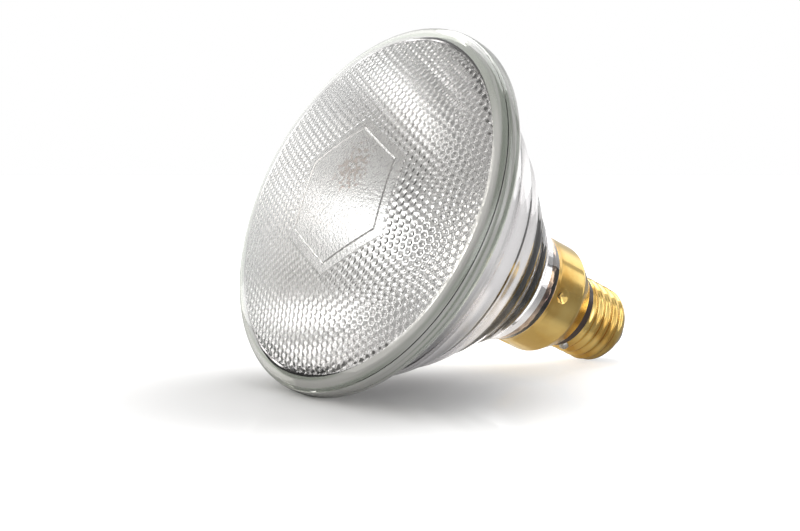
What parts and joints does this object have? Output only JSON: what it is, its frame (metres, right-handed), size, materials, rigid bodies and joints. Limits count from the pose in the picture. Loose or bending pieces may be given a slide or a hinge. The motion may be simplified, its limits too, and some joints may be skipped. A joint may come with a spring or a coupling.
{
  "type": "reflector heat lamp bulb",
  "caption": "Pressed glass reflector lamp with a domed stippled lens, a ringed silvered bowl and a skirted brass screw cap.",
  "frame": {"origin": "crown of the lens, on the lamp's axis, where the lamp stands on its lens", "axes": "+Z along the lamp's axis from the lens to the cap's contact; +X and +Y are square to it, with +X towards the side that the picture shows"},
  "size_m": [0.121, 0.121, 0.131],
  "materials": {
    "lens_glass": "clear pressed glass, stippled inside",
    "reflector_glass": "pressed glass with a silver film on the inner face",
    "tube_glass": "clear drawn glass",
    "brass": "satin drawn brass, lightly tarnished",
    "dark_insulation": "dark brown glazed ring",
    "black_glass": "black moulded glass",
    "solder": "dull tin solder",
    "nickel_wire": "nickel-plated steel",
    "tungsten": "dull tungsten"
  },
  "bodies": {
    "root": {"lens": "lens_glass", "reflector": "reflector_glass", "exhaust_tube": "tube_glass", "mount_bead": "tube_glass", "ferrule_left": "nickel_wire", "ferrule_right": "nickel_wire", "lead_post_left": "nickel_wire", "lead_post_right": "nickel_wire", "filament_hook_left": "tungsten", "filament_hook_right": "tungsten", "filament": "tungsten", "skirt": "brass", "screw_shell": "brass", "centre_contact": "brass", "skirt_insulator": "dark_insulation", "end_insulator": "black_glass", "side_solder": "solder", "centre_solder": "solder", "centre_lead_wire": "nickel_wire", "side_lead_wire": "nickel_wire"}
  },
  "joints": []
}
